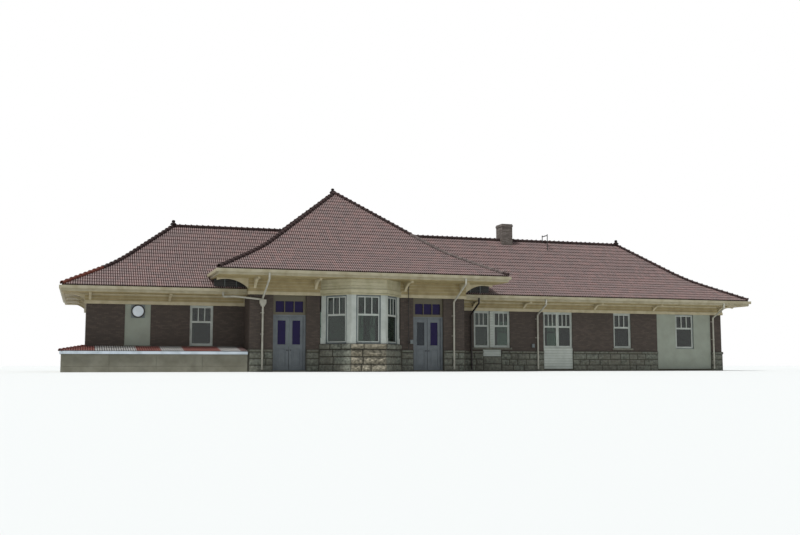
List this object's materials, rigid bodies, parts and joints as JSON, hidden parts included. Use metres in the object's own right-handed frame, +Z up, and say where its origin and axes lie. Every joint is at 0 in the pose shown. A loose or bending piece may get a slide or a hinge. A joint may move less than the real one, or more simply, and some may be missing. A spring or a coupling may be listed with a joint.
{
  "type": "railway station building",
  "caption": "Single-storey railway station with tiled hipped roofs, a taller central pavilion, a bay window and glazed double doors that swing open.",
  "frame": {"origin": "on the ground under the middle of the building", "axes": "+X along the facade to the right as seen from the tracks, the facade with the bay window faces -Y, +Z up"},
  "size_m": [37, 15.2009, 10.0125],
  "materials": {
    "brick_and_stone": "dark brown fired brick over a rock-faced grey stone foot",
    "stone": "tan rock-faced stone",
    "concrete": "cast concrete",
    "roof_tile": "weathered red-brown interlocking clay tile",
    "ridge_tile": "dark red clay ridge tile",
    "cream_woodwork": "cream painted timber",
    "door_paint": "grey-blue painted timber",
    "white_woodwork": "grey-white painted timber",
    "painted_metal": "dull painted sheet metal",
    "cream_boarding": "cream painted boarding and stucco",
    "sign_paint": "blank white enamel with a dark rim",
    "glass": "dark window glass"
  },
  "bodies": {
    "building": {"floor": "concrete", "left_front_wall": "brick_and_stone", "right_front_wall": "brick_and_stone", "end_walls": "brick_and_stone", "back_walls": "brick_and_stone", "bay_base": "stone", "pavilion_front_piers": "brick_and_stone", "pavilion_side_walls": "brick_and_stone", "pavilion_back_wall": "brick_and_stone", "main_frieze": "cream_woodwork", "pavilion_frieze": "cream_woodwork", "left_wing_roof": "roof_tile", "right_wing_roof": "roof_tile", "pavilion_roof": "roof_tile", "main_soffits": "cream_woodwork", "pavilion_soffits": "cream_woodwork", "chimney": "brick_and_stone", "main_ridge_tiles": "ridge_tile", "pavilion_hip_tiles": "ridge_tile", "finials": "ridge_tile", "roof_mast": "painted_metal", "main_gutters": "cream_woodwork", "pavilion_gutters": "cream_woodwork", "main_brackets": "cream_woodwork", "pavilion_brackets": "cream_woodwork", "front_window_frames": "white_woodwork", "front_window_glass": "glass", "rear_window_frames": "white_woodwork", "rear_window_glass": "glass", "infill_panels": "cream_boarding", "wall_disc": "sign_paint", "bay_posts": "white_woodwork", "bay_window_frames": "white_woodwork", "bay_window_glass": "glass", "bay_crown": "white_woodwork", "door_frames": "door_paint", "transom_glass": "glass", "ledge_roof": "roof_tile", "ledge_walls": "concrete", "downspouts": "painted_metal"},
    "left_door_left_leaf": {"left_door_left_leaf": "door_paint", "left_door_left_leaf_glass": "glass"},
    "left_door_right_leaf": {"left_door_right_leaf": "door_paint", "left_door_right_leaf_glass": "glass"},
    "right_door_left_leaf": {"right_door_left_leaf": "door_paint", "right_door_left_leaf_glass": "glass"},
    "right_door_right_leaf": {"right_door_right_leaf": "door_paint", "right_door_right_leaf_glass": "glass"}
  },
  "joints": [
    {"name": "left_door_left_leaf_hinge", "type": "hinge", "parent": "building", "child": "left_door_left_leaf", "pos_m": [-8.785, -5.552, 1.36], "axis": [0, 0, 1], "range_deg": [0, 90]},
    {"name": "left_door_right_leaf_hinge", "type": "hinge", "parent": "building", "child": "left_door_right_leaf", "pos_m": [-7.375, -5.552, 1.36], "axis": [0, 0, -1], "range_deg": [0, 90]},
    {"name": "right_door_left_leaf_hinge", "type": "hinge", "parent": "building", "child": "right_door_left_leaf", "pos_m": [-1.775, -5.552, 1.36], "axis": [0, 0, 1], "range_deg": [0, 90]},
    {"name": "right_door_right_leaf_hinge", "type": "hinge", "parent": "building", "child": "right_door_right_leaf", "pos_m": [-0.365, -5.552, 1.36], "axis": [0, 0, -1], "range_deg": [0, 90]}
  ]
}
